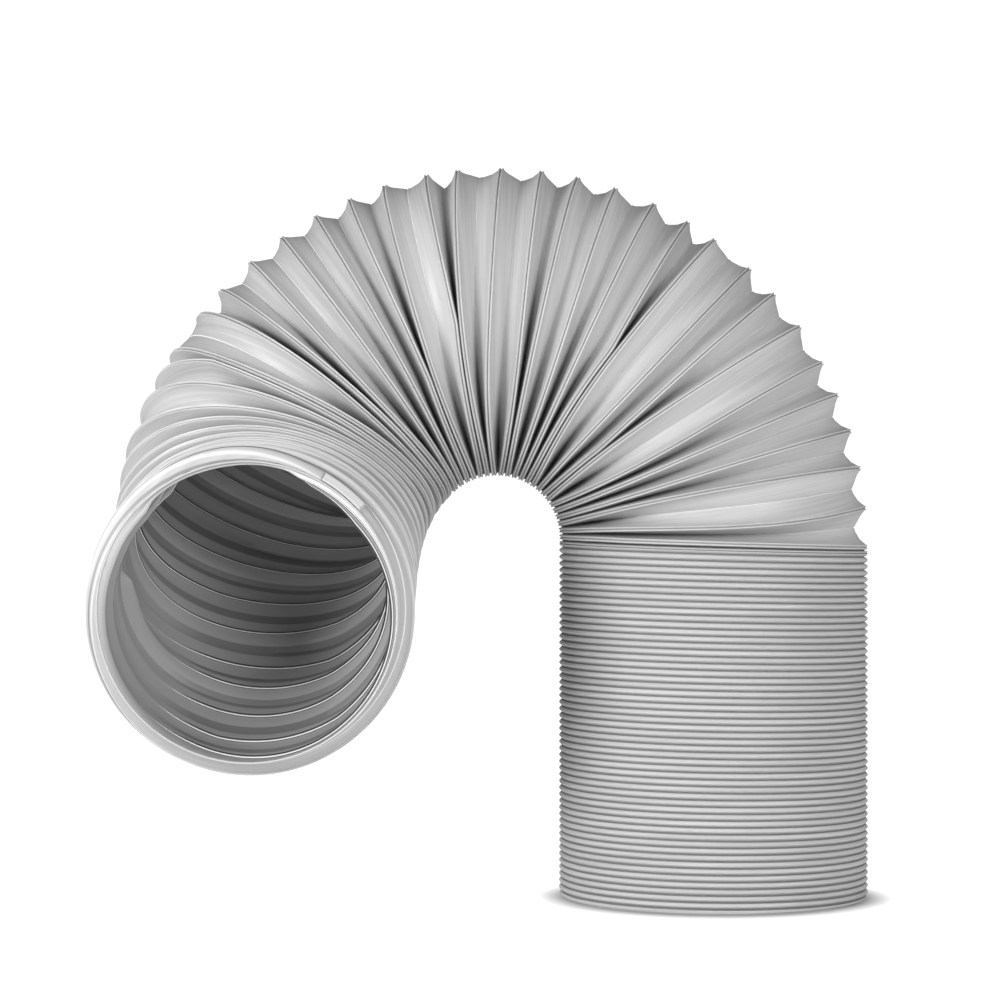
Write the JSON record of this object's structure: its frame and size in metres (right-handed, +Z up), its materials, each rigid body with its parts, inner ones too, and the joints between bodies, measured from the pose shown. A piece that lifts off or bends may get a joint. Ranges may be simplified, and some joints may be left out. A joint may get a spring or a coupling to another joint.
{
  "type": "air conditioner exhaust hose",
  "caption": "Round corrugated grey plastic exhaust hose for a portable air conditioner, standing on its closed-up end and arched over so the open end faces forward.",
  "frame": {"origin": "middle of the hose's plan at floor level", "axes": "+Z up along the standing length; the hose arches over from +X towards -X; the open end faces -Y"},
  "size_m": [0.3706, 0.189, 0.3571],
  "materials": {
    "hose": "satin"
  },
  "bodies": {
    "root": {"exhaust_hose": "hose"}
  },
  "joints": []
}
